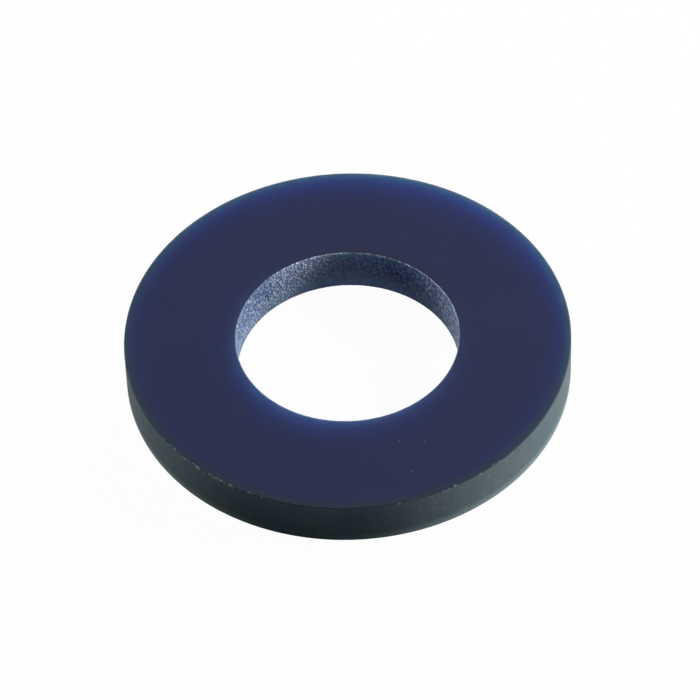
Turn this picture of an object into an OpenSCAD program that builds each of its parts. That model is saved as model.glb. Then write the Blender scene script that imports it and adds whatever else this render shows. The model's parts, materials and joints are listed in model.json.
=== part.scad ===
// Flat washer: one solid ring of tinted plastic, with a plain bolt hole and lightly rounded edges.
// Frame: millimetres, +Z up along the hole, origin at the centre of the bottom seating face.

/* [Ring] */
// Outside diameter of the rim
outer_d = 25.4; // [22:0.1:40]
// Distance between the two seating faces
thickness = 2.78; // [1:0.01:6]

/* [Bolt hole] */
// Diameter of the bolt that passes through
bolt_d = 12; // [6:0.1:16]
// How much wider than the bolt the hole is, on the diameter
bolt_clearance = 0.7; // [0.1:0.05:1]

/* [Edges] */
// Radius that rounds both edges of the rim
rim_edge_r = 0.05; // [0.02:0.01:0.4]
// Radius that rounds both mouths of the hole
hole_edge_r = 0.03; // [0.02:0.01:0.4]

/* [Colour] */
// Colour of the plastic
plastic_colour = "#1b2450"; // [#1b2450, #24408c, #2b2b2b, #e8e6df]

/* [Hidden] */

// Segments in a full turn of the ring
$fn = 180;
// Segments in a full turn of a rounded corner
corner_fn = 48;

// Radius of the hole, and of the rim
hole_r = (bolt_d + bolt_clearance) / 2;
outer_r = outer_d / 2;

// One rounded corner of the section: a disc of radius r whose centre is r in from both walls.
// toward_axis is 1 on the hole side and -1 on the rim side.
module corner(wall_r, r, toward_axis, z) {
    translate([wall_r + toward_axis * r, z]) circle(r, $fn = corner_fn);
}

// A block of the section between the hole and the rim, pulled in from each wall and from both faces.
module section_block(in_at_hole, in_at_rim, in_at_faces) {
    translate([hole_r + in_at_hole, in_at_faces])
        square([outer_r - in_at_rim - hole_r - in_at_hole, thickness - 2 * in_at_faces]);
}

// Half section of the ring in the XZ plane: full height between the corner centres, full width
// between the corners, and a disc at each corner.
module ring_section() {
    section_block(hole_edge_r, rim_edge_r, 0);
    section_block(0, rim_edge_r, hole_edge_r);
    section_block(hole_edge_r, 0, rim_edge_r);
    for (z = [hole_edge_r, thickness - hole_edge_r]) corner(hole_r, hole_edge_r, 1, z);
    for (z = [rim_edge_r, thickness - rim_edge_r]) corner(outer_r, rim_edge_r, -1, z);
}

// The washer: its half section turned once round the bolt's axis.
module washer() {
    color(plastic_colour) rotate_extrude() ring_section();
}

washer();
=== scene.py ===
# %% [markdown]
# A flat washer, cut from sheet plastic
#
# The object is one ring of dark blue tinted plastic. A bolt goes through its hole, and its two faces
# spread the bolt's load. It has no moving part and no second piece, so all the work goes into one
# mesh and its surfaces. The faces are the sheet's own smooth satin skin, the rim was cut and is a
# little dull, and the hole was drilled, which left a rough wall that sparkles.

# %% Load the frame that the CAD model gives
import json
import math

import bpy
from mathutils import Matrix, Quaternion, Vector, noise


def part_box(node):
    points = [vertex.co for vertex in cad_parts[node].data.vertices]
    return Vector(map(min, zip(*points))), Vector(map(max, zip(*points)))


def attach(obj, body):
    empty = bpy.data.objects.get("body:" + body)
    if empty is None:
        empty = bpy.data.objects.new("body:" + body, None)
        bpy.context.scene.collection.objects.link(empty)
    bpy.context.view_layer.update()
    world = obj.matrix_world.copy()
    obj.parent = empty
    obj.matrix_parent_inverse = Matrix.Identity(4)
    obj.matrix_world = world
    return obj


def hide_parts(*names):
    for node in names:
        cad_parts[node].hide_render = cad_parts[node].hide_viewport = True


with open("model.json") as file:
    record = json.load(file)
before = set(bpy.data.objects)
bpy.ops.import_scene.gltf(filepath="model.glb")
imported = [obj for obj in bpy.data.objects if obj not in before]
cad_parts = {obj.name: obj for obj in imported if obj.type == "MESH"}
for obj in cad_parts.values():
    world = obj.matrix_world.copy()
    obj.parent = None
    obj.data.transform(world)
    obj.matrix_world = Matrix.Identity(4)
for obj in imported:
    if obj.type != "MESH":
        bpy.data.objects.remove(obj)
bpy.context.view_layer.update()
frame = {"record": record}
low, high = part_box("washer")
print("CAD box, mm:", [round(1000 * v, 3) for v in (*low, *high)])

# %% [markdown]
# Sizes come from the frame, in metres, so that the looks fit the CAD model. The box gives the
# outside radius and the thickness. The mounts in the record give the hole's radius and the length of
# each straight wall, and half of what a wall lacks of the thickness is the radius that rounds its
# edges.

# %% Read the ring's sizes
MM = 0.001


def mount_size(mount_name, size_name):
    """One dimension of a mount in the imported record, in metres."""
    mount = next(m for m in frame["record"]["mounts"] if m["name"] == mount_name)
    return mount["dims"][size_name] * MM


outer_r = (high.x - low.x) / 2
thickness = high.z - low.z
hole_r = mount_size("bolt_hole", "r_mm")
hole_edge_r = (thickness - mount_size("bolt_hole", "length_mm")) / 2
rim_edge_r = (thickness - mount_size("rim", "length_mm")) / 2
print(f"outer radius {outer_r / MM:.2f}, hole radius {hole_r / MM:.2f}, thickness {thickness / MM:.2f}")
print(f"edge radii {rim_edge_r / MM:.2f} at the rim and {hole_edge_r / MM:.2f} at the hole, all in mm")

# %% [markdown]
# The camera stands about 0.27 m away with a long lens, as for a close-up of a small part, and looks
# down at 48.5 degrees. A long lens from that far keeps the rim's ellipse even. The camera could be
# turned by three angles, but a direction and an aim point are easier to check. It is then rolled by
# a little over 2 degrees about its own view axis.

# %% Make the camera
CAMERA_DISTANCE = 21.574 * outer_r
CAMERA_ELEVATION = math.radians(48.503)
CAMERA_ROLL = math.radians(2.21)
LENS = 248.2
SENSOR_W = 36
AIM_X = 0.0091 * outer_r
AIM_Y = -0.0860 * outer_r
NEAREST_SEEN = 10 * MM

aim = Vector((AIM_X, AIM_Y, thickness))
bpy.ops.object.select_all(action="DESELECT")
bpy.ops.object.camera_add()
camera = bpy.context.object
camera.name = "camera"
camera.location = (
    0,
    -CAMERA_DISTANCE * math.cos(CAMERA_ELEVATION),
    thickness + CAMERA_DISTANCE * math.sin(CAMERA_ELEVATION),
)
level_view = (aim - camera.location).to_track_quat("-Z", "Y")
camera.rotation_mode = "QUATERNION"
camera.rotation_quaternion = level_view @ Quaternion((0, 0, 1), -CAMERA_ROLL)
camera.data.lens = LENS
camera.data.sensor_width = SENSOR_W
camera.data.clip_start = NEAREST_SEEN
bpy.context.scene.camera = camera
print(f"camera is {(aim - camera.location).length:.3f} m from its aim point")

# %% [markdown]
# The ring is a solid of revolution. It could be a thick disc with a hole cut through it, but a
# boolean leaves long thin faces that shade badly. Here half of its cross-section is drawn once and
# spun round the bolt's axis, which gives even quads all the way round. An edit-mode operator acts on
# whatever is selected, so a helper first selects by place. Selection flags are set in object mode,
# because edit mode keeps a copy of the mesh and would not see them change.

# %% A helper that selects by place
TINY = 1e-7


def select_only(obj, wanted, edges=False):
    """In edit mode, selects the vertices that wanted(co) accepts, or the edges by their two ends."""
    bpy.ops.mesh.select_all(action="DESELECT")
    bpy.ops.mesh.select_mode(type="EDGE" if edges else "VERT")
    bpy.ops.object.mode_set(mode="OBJECT")
    mesh = obj.data
    if edges:
        for edge in mesh.edges:
            edge.select = wanted(*(mesh.vertices[i].co for i in edge.vertices))
    else:
        for vertex in mesh.vertices:
            vertex.select = wanted(vertex.co)
    bpy.ops.object.mode_set(mode="EDIT")


# %% [markdown]
# The section starts as a plane as wide as the wall and as high as the sheet, stood upright. A vertex
# bevel rounds its corners: by a little where the drill left the hole's mouth, and by more where the
# cut rim was broken with abrasive. Only the outline is kept, because the spin needs no filling.

# %% Draw the half section
HOLE_EDGE_STEPS = 2
RIM_EDGE_STEPS = 3
ROUND_PROFILE = 0.5

wall_w = outer_r - hole_r
bpy.ops.object.select_all(action="DESELECT")
bpy.ops.mesh.primitive_plane_add(
    size=1, location=((outer_r + hole_r) / 2, 0, thickness / 2), rotation=(math.pi / 2, 0, 0)
)
ring = bpy.context.object
ring.name = "ring"
ring.scale = (wall_w, thickness, 1)
bpy.ops.object.transform_apply(location=True, rotation=True, scale=True)
bpy.ops.object.mode_set(mode="EDIT")
for wall_r, edge_r, steps in (
    (hole_r, hole_edge_r, HOLE_EDGE_STEPS),
    (outer_r, rim_edge_r, RIM_EDGE_STEPS),
):
    select_only(ring, lambda co: abs(co.x - wall_r) < TINY)
    bpy.ops.mesh.bevel(affect="VERTICES", offset=edge_r, segments=steps, profile=ROUND_PROFILE)
bpy.ops.mesh.select_all(action="SELECT")
bpy.ops.mesh.delete(type="ONLY_FACE")
bpy.ops.object.mode_set(mode="OBJECT")
print("section has", len(ring.data.vertices), "points")

# %% [markdown]
# The straight sides get more points. The hole's wall needs the most, because its drilled grain is
# real relief, and the rim's wall needs some for its nicks. On the flat faces the rows are bunched
# towards both ends by a sine, so that the shading of the rounded edges does not spread inwards.

# %% Divide the section's straight sides
HOLE_STEP = 0.07 * MM
RIM_STEP = 0.12 * MM
FACE_CUTS = 16


def upright_at(radius):
    """A test for the section's upright edge at this radius."""
    return lambda a, b: abs(a.x - radius) < TINY and abs(b.x - radius) < TINY


bpy.ops.object.mode_set(mode="EDIT")
for radius, step in ((hole_r, HOLE_STEP), (outer_r, RIM_STEP)):
    select_only(ring, upright_at(radius), edges=True)
    bpy.ops.mesh.subdivide(number_cuts=round(thickness / step) - 1)
select_only(ring, lambda a, b: abs(a.x - b.x) > wall_w / 2, edges=True)
bpy.ops.mesh.subdivide(number_cuts=FACE_CUTS)
bpy.ops.object.mode_set(mode="OBJECT")

face_start = hole_r + hole_edge_r
face_end = outer_r - rim_edge_r
face_mid = (face_start + face_end) / 2
face_half = (face_end - face_start) / 2
for vertex in ring.data.vertices:
    if face_start + TINY < vertex.co.x < face_end - TINY:
        share = (vertex.co.x - face_mid) / face_half
        vertex.co.x = face_mid + face_half * math.sin(share * math.pi / 2)
print("section now has", len(ring.data.vertices), "points")

# %% [markdown]
# The spin makes the ring. Its first and last profile meet after a full turn, so the doubles are
# merged to close the seam, and only then are the normals turned outwards.

# %% Spin the section round the bolt's axis
SPIN_STEPS = 640
MERGE_GAP = 0.001 * MM

bpy.ops.object.mode_set(mode="EDIT")
bpy.ops.mesh.select_mode(type="VERT")
bpy.ops.mesh.select_all(action="SELECT")
bpy.ops.mesh.spin(steps=SPIN_STEPS, angle=math.tau, center=(0, 0, 0), axis=(0, 0, 1))
bpy.ops.mesh.select_all(action="SELECT")
bpy.ops.mesh.remove_doubles(threshold=MERGE_GAP)
bpy.ops.mesh.normals_make_consistent(inside=False)
bpy.ops.object.mode_set(mode="OBJECT")
bpy.ops.object.shade_smooth()
print("ring has", len(ring.data.polygons), "faces")

# %% [markdown]
# The drilled wall. A drill tears this plastic as much as it cuts it, so the wall is a field of small
# chips. A bump map could draw them, but the hole's mouth would stay a clean line, so they are
# modelled: the cells of a Voronoi texture move the wall in and out about its true radius, and a
# little random movement breaks the cells up. They move less at the mouths, and nothing is left proud
# of the two faces, which stay flat so that the washer still seats.

# %% Roughen the drilled wall
GRAIN_SIZE = 0.15 * MM
GRAIN_DEPTH = 0.030 * MM
GRAIN_MIDDLE = 0.5
GRAIN_JITTER = 0.008 * MM
JITTER_SEED = 3
MOUTH_FADE = 0.12 * MM
MOUTH_SHARE = 0.35


def drilled_share(co):
    """How strongly the drill's grain acts here: 0 off the hole's wall and 1 well inside it."""
    if math.hypot(co.x, co.y) > face_start - TINY:
        return 0.0
    from_mouth = min(co.z, thickness - co.z)
    return min(1.0, MOUTH_SHARE + from_mouth / MOUTH_FADE)


group = ring.vertex_groups.new(name="drilled_wall")
for vertex in ring.data.vertices:
    if drilled_share(vertex.co) > 0:
        group.add([vertex.index], drilled_share(vertex.co), "REPLACE")
grain = bpy.data.textures.new("drill_grain", "VORONOI")
grain.noise_scale = GRAIN_SIZE
push = ring.modifiers.new("drill_grain", "DISPLACE")
push.texture = grain
push.texture_coords = "LOCAL"
push.direction = "NORMAL"
push.vertex_group = "drilled_wall"
push.mid_level = GRAIN_MIDDLE
push.strength = -GRAIN_DEPTH
bpy.ops.object.modifier_apply(modifier=push.name)
ring.vertex_groups.clear()

bpy.ops.object.mode_set(mode="EDIT")
select_only(ring, lambda co: drilled_share(co) == 1)
bpy.ops.transform.vertex_random(offset=GRAIN_JITTER, uniform=0, normal=1, seed=JITTER_SEED)
bpy.ops.object.mode_set(mode="OBJECT")
for vertex in ring.data.vertices:
    vertex.co.z = min(thickness, max(0.0, vertex.co.z))
wall_radii = [math.hypot(v.co.x, v.co.y) for v in ring.data.vertices if drilled_share(v.co) > 0]
print(f"hole radius runs from {min(wall_radii) / MM:.3f} to {max(wall_radii) / MM:.3f} mm")

# %% [markdown]
# The grain's height is kept as an attribute, 0 at the bottom of the deepest chip and 1 on a crest.
# The wall is painted paler on the crests and darker in the chips between them, so that the finish
# follows the relief.

# %% Remember the grain's height
crest = ring.data.attributes.new("crest", "FLOAT", "POINT")
for vertex in ring.data.vertices:
    depth = (math.hypot(vertex.co.x, vertex.co.y) - hole_r) / GRAIN_DEPTH
    crest.data[vertex.index].value = min(1.0, max(0.0, GRAIN_MIDDLE - depth))
wall_crests = [c.value for v, c in zip(ring.data.vertices, crest.data) if drilled_share(v.co) > 0]
print("mean height of the drilled wall:", round(sum(wall_crests) / len(wall_crests), 2))

# %% [markdown]
# Wear on the upper edges. Handling knocks small flakes off the rim's edge, and they cluster on the
# stretches that were knocked. The drill crushed the hole's mouth in the same way, and over two
# stretches its flakes are so dense that their pale colour is a painted highlight along the mouth. A
# noise picks the points, its threshold is lower on a worn stretch, and shrink pulls them in along
# their normals. The same points are remembered as a second attribute, because a fresh flake is also
# paler than the surface round it.

# %% Nick the edges
FLAKE_SIZE = 0.10 * MM
FLAKE_DEPTH = 0.015 * MM
FLAKE_REACH = 0.01 * MM
INTACT = 0.75
# each worn stretch: its middle and half width in degrees round the ring, and how worn its middle is
RIM_WEAR = ((232, 22, 0.70), (292, 26, 0.33))
# at the hole's mouth the flakes are dense enough that their pale colour is a painted highlight
MOUTH_WEAR_AND_HIGHLIGHT = ((95, 50, 0.90), (28, 36, 1.30))


def wear_at(co, stretches):
    """How strong a mark is at this point: a smooth hump over each stretch that has it."""
    azimuth = math.degrees(math.atan2(co.y, co.x))
    total = 0.0
    for middle, half_width, amount in stretches:
        turn = (azimuth - middle + 180) % 360 - 180
        total += amount * max(0.0, 1 - (turn / half_width) ** 2)
    return total


def flaked(co):
    """True where an upper edge has lost a flake."""
    radius = math.hypot(co.x, co.y)
    if radius > face_end - FLAKE_REACH and co.z > thickness - rim_edge_r - TINY:
        return noise.noise(co / FLAKE_SIZE) > INTACT - wear_at(co, RIM_WEAR)
    if radius < face_start + FLAKE_REACH and co.z > thickness - hole_edge_r - TINY:
        return noise.noise(co / FLAKE_SIZE) > INTACT - wear_at(co, MOUTH_WEAR_AND_HIGHLIGHT)
    return False


flake = ring.data.attributes.new("flake_and_highlight", "FLOAT", "POINT")
for vertex in ring.data.vertices:
    flake.data[vertex.index].value = float(flaked(vertex.co))
print("points flaked off the edges:", round(sum(f.value for f in flake.data)))
bpy.ops.object.mode_set(mode="EDIT")
select_only(ring, flaked)
bpy.ops.transform.shrink_fatten(value=-FLAKE_DEPTH)
bpy.ops.mesh.select_all(action="DESELECT")
bpy.ops.object.mode_set(mode="OBJECT")

# %% [markdown]
# Three more attributes hold what varies slowly round the ring. Fine grit was pressed into the rim,
# mostly over the stretch that lay against the bench, and specks show where there is grit. Two
# stretches of the hole's wall are painted paler, as painted light that reaches them through the
# plastic. Its lowest part is painted paler too, a painted glow of light from the floor below that
# grows towards the bottom.

# %% Mark the grit on the rim, and the painted light in the hole
# the stretches are written as for the wear: middle, half width in degrees, and strength
GRIT_EVERYWHERE = 0.1
RIM_GRIT = ((295, 32, 1.0),)
# painted light: paler stretches of the hole's wall, for light that comes through the plastic
PAINTED_LIGHT_EVERYWHERE = 0.0
HOLE_PAINTED_LIGHT = ((98, 36, 0.29), (15, 25, 0.06))
# painted light: the wall's lowest part is painted paler, for light from the floor below
FLOOR_GLOW_EVERYWHERE = 0.25
HOLE_FLOOR_GLOW = ((85, 50, 0.75),)
PAINTED_FLOOR_GLOW_H = 0.5 * thickness

for name, everywhere, stretches in (
    ("grit", GRIT_EVERYWHERE, RIM_GRIT),
    ("frost_and_painted_light", PAINTED_LIGHT_EVERYWHERE, HOLE_PAINTED_LIGHT),
    ("floor_glow", FLOOR_GLOW_EVERYWHERE, HOLE_FLOOR_GLOW),
):
    mark = ring.data.attributes.new(name, "FLOAT", "POINT")
    for vertex in ring.data.vertices:
        low_share = max(0.0, 1 - vertex.co.z / PAINTED_FLOOR_GLOW_H) if name == "floor_glow" else 1.0
        mark.data[vertex.index].value = low_share * (everywhere + wear_at(vertex.co, stretches))
    print("most", name, "anywhere:", round(max(m.value for m in mark.data), 2))

# %% [markdown]
# Colours are written as sRGB hex values, as in a paint program, and one function turns them to the
# linear light that shaders work in. A second small function adds a shader node with its settings and
# its links, which keeps each material short enough to read. A Mix node numbers its colour sockets,
# so those numbers get names, and so does the setting that makes a Map Range node's ramp a smooth one.
# A noise's detail is how many finer layers it adds: a cloudy pattern has few and a grainy one more.

# %% Helpers for materials
MIX_A = 6
MIX_B = 7
MIX_RESULT = 2
SMOOTH = {"interpolation_type": "SMOOTHSTEP"}
PLAIN = 1.0
CLOUDY = 2.0
GRAINY = 3.0


def linear(hex_colour):
    """A colour written as an sRGB hex value, turned to linear light with full alpha."""
    parts = [int(hex_colour[i : i + 2], 16) / 255 for i in (1, 3, 5)]
    return tuple(c / 12.92 if c <= 0.04045 else ((c + 0.055) / 1.055) ** 2.4 for c in parts) + (1,)


def node(tree, kind, settings=None, links=None):
    """Adds a shader node. A setting is a property or a socket's value, and a link feeds a socket."""
    made = tree.nodes.new("ShaderNode" + kind)
    for key, value in (settings or {}).items():
        if isinstance(key, str) and hasattr(made, key):
            setattr(made, key, value)
        else:
            made.inputs[key].default_value = value
    for key, source in (links or {}).items():
        tree.links.new(source, made.inputs[key])
    return made


print("middle grey #808080 in linear light:", round(linear("#808080")[0], 3))

# %% [markdown]
# The plastic itself. Every surface is the same acrylic, dyed dark blue all the way through. It lets a
# little light in, and blue travels further in it than red or green, so light that enters through the
# rim or the hole's wall glows blue out of the face for about a millimetre beside the edge. That is
# subsurface scattering, mixed in at a small weight because the dye swallows most of the light. Each
# finish says how much it shows of it.

# %% The body of the tinted acrylic
ACRYLIC_IOR = 1.49
GLOW_REACH = (0.14, 0.38, 0.95)


def tinted_acrylic(name, roughness, specular, glow):
    """A new material with the plastic's body, and a surface of this roughness, gloss and glow."""
    material = bpy.data.materials.new(name)
    material.use_nodes = True
    body = material.node_tree.nodes["Principled BSDF"]
    body.subsurface_method = "RANDOM_WALK_SKIN"
    for socket, value in {
        "IOR": ACRYLIC_IOR,
        "Roughness": roughness,
        "Specular IOR Level": specular,
        "Subsurface Weight": glow,
        "Subsurface Radius": GLOW_REACH,
        "Subsurface Scale": MM,
    }.items():
        body.inputs[socket].default_value = value
    return material


print("blue light travels", round(GLOW_REACH[2] / GLOW_REACH[0], 1), "times as far in it as red")

# %% [markdown]
# Two marks are shared by several surfaces. Fresh flakes are pale, and they follow the attribute that
# marks them on the edges, broken up by a noise that is finer than the mesh. At the hole's mouth they
# are also a painted highlight. Specks are the odd grains of grit that were pressed into the surface:
# a Voronoi cell's centre lights up where it lies close to the surface, so they differ in size. On the
# rim they are painted paler than grit, so they are also painted glints.

# %% Marks that the surfaces share
RIM_FLAKE = "#959ca1"
# pale enough that the mouth's flakes are also a painted highlight
MOUTH_FLAKE_AND_HIGHLIGHT = "#dfe9fb"
FLAKE_GRAIN = 0.07 * MM
FLAKE_FROM = 0.38
FLAKE_TO = 0.52


def with_flakes_and_highlight(tree, colour, flake_hex):
    """The colour, pale where an edge has lost a flake; at the hole's mouth also a painted highlight."""
    fresh = node(tree, "Attribute", {"attribute_name": "flake_and_highlight"})
    place = node(tree, "TexCoord").outputs["Object"]
    grain = node(tree, "TexNoise", {"Scale": 1 / FLAKE_GRAIN, "Detail": PLAIN}, {"Vector": place})
    settings = {"From Min": FLAKE_FROM, "From Max": FLAKE_TO}
    broken = node(tree, "MapRange", settings, {"Value": grain.outputs["Fac"]})
    links = {0: fresh.outputs["Fac"], 1: broken.outputs["Result"]}
    pale = node(tree, "Math", {"operation": "MULTIPLY"}, links)
    settings = {"data_type": "RGBA", MIX_B: linear(flake_hex)}
    mix = node(tree, "Mix", settings, {"Factor": pale.outputs["Value"], MIX_A: colour})
    return mix.outputs[MIX_RESULT]


def with_specks(tree, place, colour, spacing, radius, speck_hex):
    """The colour with small pale specks of grit, at most one per cell of this spacing; paler ones paint
    glints.
    """
    cells = node(tree, "TexVoronoi", {"Scale": 1 / spacing}, {"Vector": place})
    settings = {"From Min": radius / spacing, "From Max": radius / spacing / 2}
    dot = node(tree, "MapRange", settings, {"Value": cells.outputs["Distance"]})
    grit_here = node(tree, "Attribute", {"attribute_name": "grit"})
    links = {0: dot.outputs["Result"], 1: grit_here.outputs["Fac"]}
    speck = node(tree, "Math", {"operation": "MULTIPLY"}, links)
    settings = {"data_type": "RGBA", MIX_B: linear(speck_hex)}
    mix = node(tree, "Mix", settings, {"Factor": speck.outputs["Value"], MIX_A: colour})
    return mix.outputs[MIX_RESULT]


def add_finish(material):
    """Gives the ring this finish, and returns the number of its material slot."""
    ring.data.materials.append(material)
    print(material.name, "has", len(material.node_tree.nodes), "nodes")
    return len(ring.data.materials) - 1


# %% [markdown]
# The faces are the skin of an extruded sheet. It is smooth and satin, with only a faint cloudiness.
# Close to the rim the navy gives way to a dull green grey, and close to the hole it dulls a little.
# Both changes are rings, so they follow the distance from the axis.

# %% Finish of the faces
FACE_ROUGHNESS = 0.2
FACE_GLOSS = 0.5
FACE_GLOW = 0.165
NAVY_DARK = "#1e2445"
NAVY_PALE = "#22284a"
FACE_CLOUD_SIZE = 5 * MM
RIM_TINT = "#222c35"
RIM_TINT_W = 0.6 * MM
HOLE_TINT = "#212642"
HOLE_TINT_W = 1.2 * MM
FACE_SPECK = "#5d6888"
FACE_SPECK_GAP = 1.1 * MM
FACE_SPECK_R = 0.05 * MM
SKIN_GRAIN = 0.25 * MM
SKIN_RELIEF = 0.004 * MM
SKIN_BUMP = 0.15


def extruded_face():
    """Satin skin of the extruded sheet."""
    material = tinted_acrylic("tinted_acrylic_extruded", FACE_ROUGHNESS, FACE_GLOSS, FACE_GLOW)
    tree = material.node_tree
    body = tree.nodes["Principled BSDF"]
    place = node(tree, "TexCoord").outputs["Object"]
    settings = {"Scale": 1 / FACE_CLOUD_SIZE, "Detail": CLOUDY}
    cloud = node(tree, "TexNoise", settings, {"Vector": place})
    settings = {"data_type": "RGBA", MIX_A: linear(NAVY_DARK), MIX_B: linear(NAVY_PALE)}
    navy = node(tree, "Mix", settings, {"Factor": cloud.outputs["Fac"]})

    flat = node(tree, "VectorMath", {"operation": "MULTIPLY", 1: (1, 1, 0)}, {0: place})
    from_axis = node(tree, "VectorMath", {"operation": "LENGTH"}, {0: flat.outputs["Vector"]})
    radius = from_axis.outputs["Value"]
    settings = {"From Min": face_end - RIM_TINT_W, "From Max": face_end}
    near_rim = node(tree, "MapRange", SMOOTH | settings, {"Value": radius})
    settings = {"From Min": face_start + HOLE_TINT_W, "From Max": face_start}
    near_hole = node(tree, "MapRange", SMOOTH | settings, {"Value": radius})
    settings = {"data_type": "RGBA", MIX_B: linear(HOLE_TINT)}
    links = {"Factor": near_hole.outputs["Result"], MIX_A: navy.outputs[MIX_RESULT]}
    by_hole = node(tree, "Mix", settings, links)
    settings = {"data_type": "RGBA", MIX_B: linear(RIM_TINT)}
    links = {"Factor": near_rim.outputs["Result"], MIX_A: by_hole.outputs[MIX_RESULT]}
    by_rim = node(tree, "Mix", settings, links).outputs[MIX_RESULT]
    specked = with_specks(tree, place, by_rim, FACE_SPECK_GAP, FACE_SPECK_R, FACE_SPECK)
    tree.links.new(with_flakes_and_highlight(tree, specked, RIM_FLAKE), body.inputs["Base Color"])

    skin = node(tree, "TexNoise", {"Scale": 1 / SKIN_GRAIN, "Detail": GRAINY}, {"Vector": place})
    settings = {"Strength": SKIN_BUMP, "Distance": SKIN_RELIEF}
    relief = node(tree, "Bump", settings, {"Height": skin.outputs["Fac"]})
    tree.links.new(relief.outputs["Normal"], body.inputs["Normal"])
    return material


FACE = add_finish(extruded_face())

# %% [markdown]
# The rim was cut across the sheet. The cutter left it hazy, so the dark dye is veiled by a dull grey,
# with faint upright marks where the tool chattered and broader warm and cool patches. A noise that is
# stretched along the axis draws the marks. The lowest part is painted paler and teal: a painted glow
# that stands in for light from the bench below shining up through the plastic.

# %% Finish of the rim
RIM_ROUGHNESS = 0.7
RIM_GLOSS = 0.12
RIM_GLOW = 0.05
HAZE_DARK = "#546368"
HAZE_PALE = "#647276"
CUT_MARK_SIZE = 0.5 * MM
CUT_MARK_STRETCH = 0.15
WARM = "#6b6c68"
RIM_PATCH_SIZE = 3 * MM
WARM_FROM = 0.45
WARM_TO = 0.7
WARM_SHARE = 0.5
# painted glow: the rim's lowest part is painted paler and teal, for light from the bench below
PAINTED_BENCH_GLOW = "#829597"
PAINTED_BENCH_GLOW_H = 0.7 * MM
# grit specks painted paler than grit, so that they are also painted glints
RIM_SPECK_AND_GLINT = "#c3ccd0"
RIM_SPECK_GAP = 0.30 * MM
RIM_SPECK_R = 0.036 * MM
CUT_RELIEF = 0.01 * MM
CUT_BUMP = 0.2


def cut_rim():
    """Hazy wall that the cutter left round the outside, with painted bench light at its foot."""
    material = tinted_acrylic("tinted_acrylic_cut", RIM_ROUGHNESS, RIM_GLOSS, RIM_GLOW)
    tree = material.node_tree
    body = tree.nodes["Principled BSDF"]
    place = node(tree, "TexCoord").outputs["Object"]
    upright = node(tree, "Mapping", {"Scale": (1, 1, CUT_MARK_STRETCH)}, {"Vector": place})
    settings = {"Scale": 1 / CUT_MARK_SIZE, "Detail": GRAINY}
    marks = node(tree, "TexNoise", settings, {"Vector": upright.outputs["Vector"]})
    settings = {"data_type": "RGBA", MIX_A: linear(HAZE_DARK), MIX_B: linear(HAZE_PALE)}
    haze = node(tree, "Mix", settings, {"Factor": marks.outputs["Fac"]})

    settings = {"Scale": 1 / RIM_PATCH_SIZE, "Detail": CLOUDY}
    patches = node(tree, "TexNoise", settings, {"Vector": place})
    settings = {"From Min": WARM_FROM, "From Max": WARM_TO, "To Max": WARM_SHARE}
    warm = node(tree, "MapRange", settings, {"Value": patches.outputs["Fac"]})
    settings = {"data_type": "RGBA", MIX_B: linear(WARM)}
    links = {"Factor": warm.outputs["Result"], MIX_A: haze.outputs[MIX_RESULT]}
    patchy = node(tree, "Mix", settings, links)

    # painted light: paler and teal towards the foot, for light from the bench below
    height = node(tree, "SeparateXYZ", links={0: place})
    settings = {"From Min": PAINTED_BENCH_GLOW_H, "From Max": 0}
    near_bench = node(tree, "MapRange", SMOOTH | settings, {"Value": height.outputs["Z"]})
    settings = {"data_type": "RGBA", MIX_B: linear(PAINTED_BENCH_GLOW)}
    links = {"Factor": near_bench.outputs["Result"], MIX_A: patchy.outputs[MIX_RESULT]}
    tinted = node(tree, "Mix", settings, links).outputs[MIX_RESULT]
    # specks of grit, pale enough on the rim to be painted glints as well
    specked = with_specks(tree, place, tinted, RIM_SPECK_GAP, RIM_SPECK_R, RIM_SPECK_AND_GLINT)
    tree.links.new(with_flakes_and_highlight(tree, specked, RIM_FLAKE), body.inputs["Base Color"])

    settings = {"Strength": CUT_BUMP, "Distance": CUT_RELIEF}
    relief = node(tree, "Bump", settings, {"Height": marks.outputs["Fac"]})
    tree.links.new(relief.outputs["Normal"], body.inputs["Normal"])
    return material


RIM = add_finish(cut_rim())

# %% [markdown]
# The drilled wall sparkles, because every chip is a small facet that catches the light. A Voronoi
# texture paints the sparkle into the colour as painted glints: each cell has its own random
# brightness, strongest at the cell's centre. Real chips are finer than this. They are drawn as coarse
# as they need to be to show. The colour is also paler on the modelled relief's crests and darker
# between them, so the pattern and the shape agree.

# %% Finish of the hole's wall
HOLE_ROUGHNESS = 0.45
HOLE_GLOSS = 0.5
HOLE_GLOW = 0.14
CHIP_DARK = "#3b4f7b"
CHIP_PALE = "#c3d0df"
# painted glow of light from the floor below, on the lowest part of the hole's wall
PAINTED_FLOOR_GLOW = "#c2dcfa"
CHIP_SIZE = 0.18 * MM
CHIP_CORE = 0.2
CHIP_RIM = 0.6
CREST_SHARE = 0.35
CHIP_SHARE = 0.78
FROST_FROM = 0.1
FROST_TO = 0.85
CHIP_RELIEF = 0.05 * MM
CHIP_BUMP = 0.8


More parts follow.
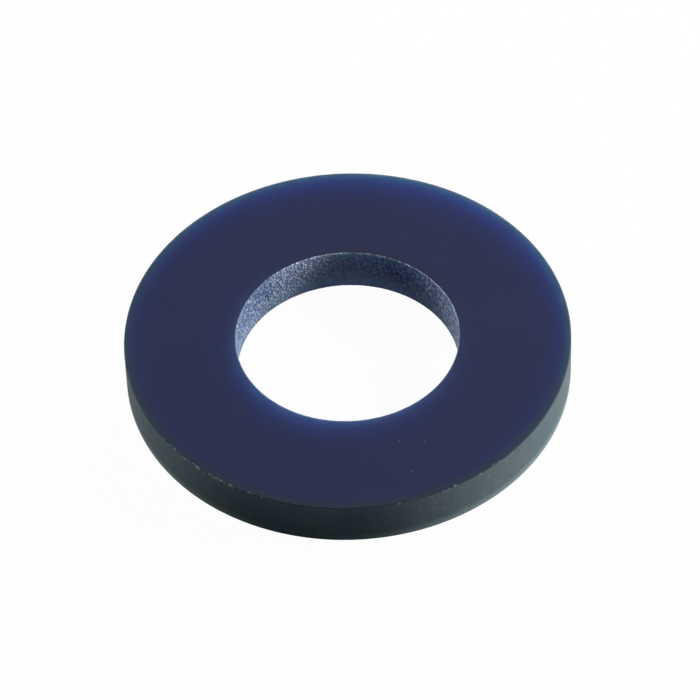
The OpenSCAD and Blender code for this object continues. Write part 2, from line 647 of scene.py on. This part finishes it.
def drilled_wall():
    """Frosted wall of chips that the drill left, with painted glints and painted light."""
    material = tinted_acrylic("tinted_acrylic_drilled", HOLE_ROUGHNESS, HOLE_GLOSS, HOLE_GLOW)
    tree = material.node_tree
    body = tree.nodes["Principled BSDF"]
    place = node(tree, "TexCoord").outputs["Object"]
    chips = node(tree, "TexVoronoi", {"Scale": 1 / CHIP_SIZE}, {"Vector": place})
    settings = {"From Min": CHIP_CORE, "From Max": CHIP_RIM, "To Min": 1, "To Max": 0}
    centre = node(tree, "MapRange", settings, {"Value": chips.outputs["Distance"]})
    links = {0: centre.outputs["Result"], 1: chips.outputs["Color"]}
    # painted highlight: each cell's random brightness, strongest at its centre, paints a glint
    painted_glint = node(tree, "Math", {"operation": "MULTIPLY"}, links)
    # paler on the relief's crests and darker in the chips between them
    crests = node(tree, "Attribute", {"attribute_name": "crest"})
    settings = {"operation": "MULTIPLY_ADD", 1: CREST_SHARE}
    pale = node(tree, "Math", settings, {0: crests.outputs["Fac"], 2: painted_glint.outputs["Value"]})
    # painted light: two stretches of the wall are painted paler
    frost_and_painted_light_here = node(tree, "Attribute", {"attribute_name": "frost_and_painted_light"})
    settings = {"operation": "MULTIPLY_ADD", 1: CHIP_SHARE}
    frosted = node(tree, "Math", settings, {0: pale.outputs["Value"], 2: frost_and_painted_light_here.outputs["Fac"]})
    settings = {"From Min": FROST_FROM, "From Max": FROST_TO}
    spread = node(tree, "MapRange", settings, {"Value": frosted.outputs["Value"]})
    settings = {"data_type": "RGBA", MIX_A: linear(CHIP_DARK), MIX_B: linear(CHIP_PALE)}
    frost_and_painted_light = node(tree, "Mix", settings, {"Factor": spread.outputs["Result"]})

    # painted light: the wall is painted paler towards its bottom, for light from the floor below
    floor_glow_here = node(tree, "Attribute", {"attribute_name": "floor_glow"})
    settings = {"data_type": "RGBA", MIX_B: linear(PAINTED_FLOOR_GLOW)}
    links = {"Factor": floor_glow_here.outputs["Fac"], MIX_A: frost_and_painted_light.outputs[MIX_RESULT]}
    floor_lit = node(tree, "Mix", settings, links).outputs[MIX_RESULT]
    tree.links.new(with_flakes_and_highlight(tree, floor_lit, MOUTH_FLAKE_AND_HIGHLIGHT), body.inputs["Base Color"])

    settings = {"Strength": CHIP_BUMP, "Distance": CHIP_RELIEF}
    relief = node(tree, "Bump", settings, {"Height": centre.outputs["Result"]})
    tree.links.new(relief.outputs["Normal"], body.inputs["Normal"])
    return material


HOLE = add_finish(drilled_wall())

# %% [markdown]
# The rim's rounded edges were broken by hand with abrasive. That dulls them without the haze of the
# cut rim, so they stay dark and almost without gloss, and only the fresh flakes stand out.

# %% Finish of the rim's rounded edges
EDGE_ROUGHNESS = 0.6
EDGE_GLOSS = 0.3
EDGE_GLOW = 0.05
SAND_DARK = "#232936"
SAND_PALE = "#2e3643"
SAND_SIZE = 0.3 * MM


def sanded_edge():
    """Matt edge between a face and the rim."""
    material = tinted_acrylic("tinted_acrylic_sanded", EDGE_ROUGHNESS, EDGE_GLOSS, EDGE_GLOW)
    tree = material.node_tree
    body = tree.nodes["Principled BSDF"]
    place = node(tree, "TexCoord").outputs["Object"]
    sand = node(tree, "TexNoise", {"Scale": 1 / SAND_SIZE, "Detail": GRAINY}, {"Vector": place})
    settings = {"data_type": "RGBA", MIX_A: linear(SAND_DARK), MIX_B: linear(SAND_PALE)}
    dull = node(tree, "Mix", settings, {"Factor": sand.outputs["Fac"]}).outputs[MIX_RESULT]
    tree.links.new(with_flakes_and_highlight(tree, dull, RIM_FLAKE), body.inputs["Base Color"])
    return material


EDGE = add_finish(sanded_edge())

# %% [markdown]
# Each face of the mesh gets the finish of its place: a flat face, the rim's wall, the rim's rounded
# edges, or the hole's wall, whose small roundings the drill left as rough as the wall. The middle of
# the mesh face decides.

# %% Give each surface its finish
def finish_at(centre):
    """The number of the finish at this point of the surface."""
    radius = math.hypot(centre.x, centre.y)
    from_face = min(centre.z, thickness - centre.z)
    if radius > face_end:
        return EDGE if from_face < rim_edge_r else RIM
    if radius < face_start:
        return HOLE
    return FACE


counts = [0] * len(ring.data.materials)
for polygon in ring.data.polygons:
    polygon.material_index = finish_at(polygon.center)
    counts[polygon.material_index] += 1
print("mesh faces on the flat faces, rim, hole wall and edges:", counts)

# %% [markdown]
# The floor is plain pale paper. To the camera it is almost pure white, and it keeps a little of the
# ring's soft shadow. Light that bounces off it onto the ring comes from a darker grey, and a
# reflection sees only a part of the white, so that the white floor does not wash out the dark rim.

# %% Lay the floor
FLOOR_SIZE = 2
FLOOR_GAP = 0.02 * MM
CAMERA_WHITE = 0.975
MIRRORED_WHITE = 0.1
BOUNCE_GREY = "#9099a2"
PAPER_WHITE = "#f3f3f3"

bpy.ops.object.select_all(action="DESELECT")
bpy.ops.mesh.primitive_plane_add(size=FLOOR_SIZE, location=(0, 0, -FLOOR_GAP))
floor = bpy.context.object
floor.name = "floor"


def mirrored_ray(tree, path):
    """1 for a ray that has been reflected or has passed through glass, else 0."""
    links = {0: path.outputs["Is Glossy Ray"], 1: path.outputs["Is Transmission Ray"]}
    return node(tree, "Math", {"operation": "MAXIMUM"}, links).outputs["Value"]


def pale_paper():
    """Matt paper that the camera sees as white."""
    material = bpy.data.materials.new("matt_paper")
    material.use_nodes = True
    tree = material.node_tree
    tree.nodes.clear()
    path = node(tree, "LightPath")
    settings = {"data_type": "RGBA", MIX_A: linear(BOUNCE_GREY), MIX_B: linear(PAPER_WHITE)}
    shade = node(tree, "Mix", settings, {"Factor": path.outputs["Is Camera Ray"]})
    paper = node(tree, "BsdfDiffuse", links={"Color": shade.outputs[MIX_RESULT]})
    white = node(tree, "Emission", {"Strength": 1})
    settings = {"operation": "MULTIPLY", 1: MIRRORED_WHITE}
    mirrored = node(tree, "Math", settings, {0: mirrored_ray(tree, path)})
    settings = {"operation": "MULTIPLY_ADD", 1: CAMERA_WHITE}
    seen = node(tree, "Math", settings, {0: path.outputs["Is Camera Ray"], 2: mirrored.outputs["Value"]})
    links = {0: seen.outputs["Value"], 1: paper.outputs["BSDF"], 2: white.outputs["Emission"]}
    mix = node(tree, "MixShader", links=links)
    node(tree, "OutputMaterial", links={"Surface": mix.outputs["Shader"]})
    return material


floor.data.materials.append(pale_paper())
print("floor lies", FLOOR_GAP / MM, "mm under the ring")

# %% [markdown]
# The room round the object. The camera would see it as white where the floor ends. Reflections see a
# dim grey room, which gives the satin faces their faint sheen from every side, and almost no light
# comes from it, so that the lamps alone model the edges.

# %% Set the room
ROOM_LIGHT = 0.01
ROOM_SHEEN = 0.27

world = bpy.data.worlds.new("studio")
bpy.context.scene.world = world
world.use_nodes = True
room = world.node_tree
room.nodes.clear()
path = node(room, "LightPath")
settings = {"operation": "MULTIPLY_ADD", 1: ROOM_SHEEN, 2: ROOM_LIGHT}
sheen = node(room, "Math", settings, {0: mirrored_ray(room, path)})
links = {0: path.outputs["Is Camera Ray"], 1: sheen.outputs["Value"]}
level = node(room, "Math", {"operation": "MAXIMUM"}, links)
backdrop = node(room, "Background", {"Color": (1, 1, 1, 1)}, {"Strength": level.outputs["Value"]})
node(room, "OutputWorld", links={"Surface": backdrop.outputs["Background"]})
print("room light", ROOM_LIGHT, "and sheen", ROOM_SHEEN)

# %% [markdown]
# The lamps. Low soft boxes behind, to the right and to the left send light in through the rim and
# the hole's wall, which is what makes tinted plastic glow at its edges. There is none above, because
# the satin face would mirror it and turn grey when it is seen from the top. Each is set by how white
# it makes a white card that faces it, so the levels can be compared and added up.

# %% Place the lamps
LAMP_DISTANCE = 0.5
LAMP_SIZE = 0.2


def softbox(name, azimuth, elevation, white):
    """A square lamp, aimed at the ring, that lights a white card facing it to this level."""
    turn, rise = math.radians(azimuth), math.radians(elevation)
    towards = Vector((math.cos(turn) * math.cos(rise), math.sin(turn) * math.cos(rise), math.sin(rise)))
    bpy.ops.object.light_add(type="AREA", location=LAMP_DISTANCE * towards)
    lamp = bpy.context.object
    lamp.name = name
    lamp.rotation_euler = towards.to_track_quat("Z", "Y").to_euler()
    lamp.data.shape = "SQUARE"
    lamp.data.size = LAMP_SIZE
    lamp.data.energy = white * (math.pi * LAMP_DISTANCE) ** 2
    return white * towards.z


on_face = (
    softbox("lamp_rear", 72, 10, 1.25)
    + softbox("lamp_right", 8, 20, 1.65)
    + softbox("lamp_left", 150, 20, 0.85)
)
print("a white card lying on the ring renders at", round(on_face + ROOM_LIGHT, 2))

# %% [markdown]
# The hand-over. The Standard view shows a colour as it is written. The ring rides on the washer's
# only body, and the CAD solid that it stands for is hidden.

# %% Hand over
bpy.context.scene.view_settings.view_transform = "Standard"
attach(ring, "root")
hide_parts("washer")
